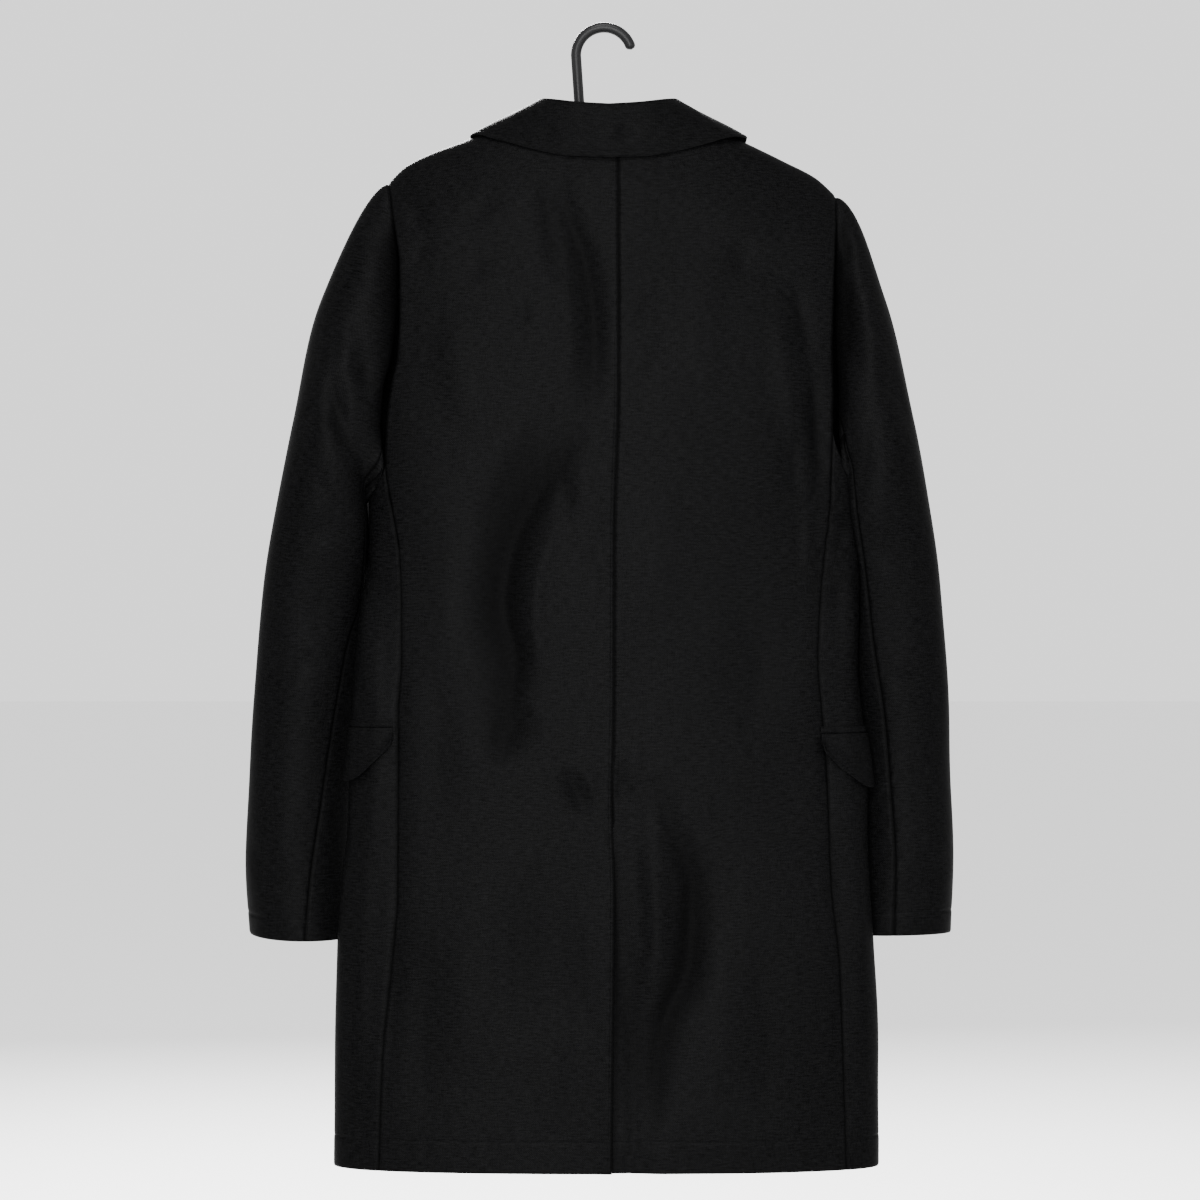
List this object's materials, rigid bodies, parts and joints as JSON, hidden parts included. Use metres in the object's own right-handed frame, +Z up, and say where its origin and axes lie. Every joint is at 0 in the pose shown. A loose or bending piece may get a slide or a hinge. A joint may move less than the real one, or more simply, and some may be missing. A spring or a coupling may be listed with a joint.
{
  "type": "wool coat on hanger",
  "caption": "Tailored single-breasted wool coat with notched collar, centre back vent and flapped hip pockets, hanging on a moulded plastic hanger.",
  "frame": {"origin": "inner crown of the hanger's hook, where a rail touches it", "axes": "+Z up, the coat's front faces -Y and its back faces +Y, the wearer's left is +X"},
  "size_m": [0.6316, 0.1558, 1.003],
  "materials": {
    "wool": "matte brushed wool cloth",
    "button_horn": "satin dark horn",
    "hanger_plastic": "satin moulded black plastic"
  },
  "bodies": {
    "root": {"back_left": "wool", "back_right": "wool", "side_left": "wool", "side_right": "wool", "front_left": "wool", "front_right": "wool", "sleeve_top_left": "wool", "sleeve_under_left": "wool", "sleeve_top_right": "wool", "sleeve_under_right": "wool", "collar": "wool", "lapel_left": "wool", "lapel_right": "wool", "flap_left": "wool", "welt_left": "wool", "flap_right": "wool", "welt_right": "wool", "button_1": "button_horn", "button_2": "button_horn", "button_3": "button_horn", "hanger": "hanger_plastic"}
  },
  "joints": []
}
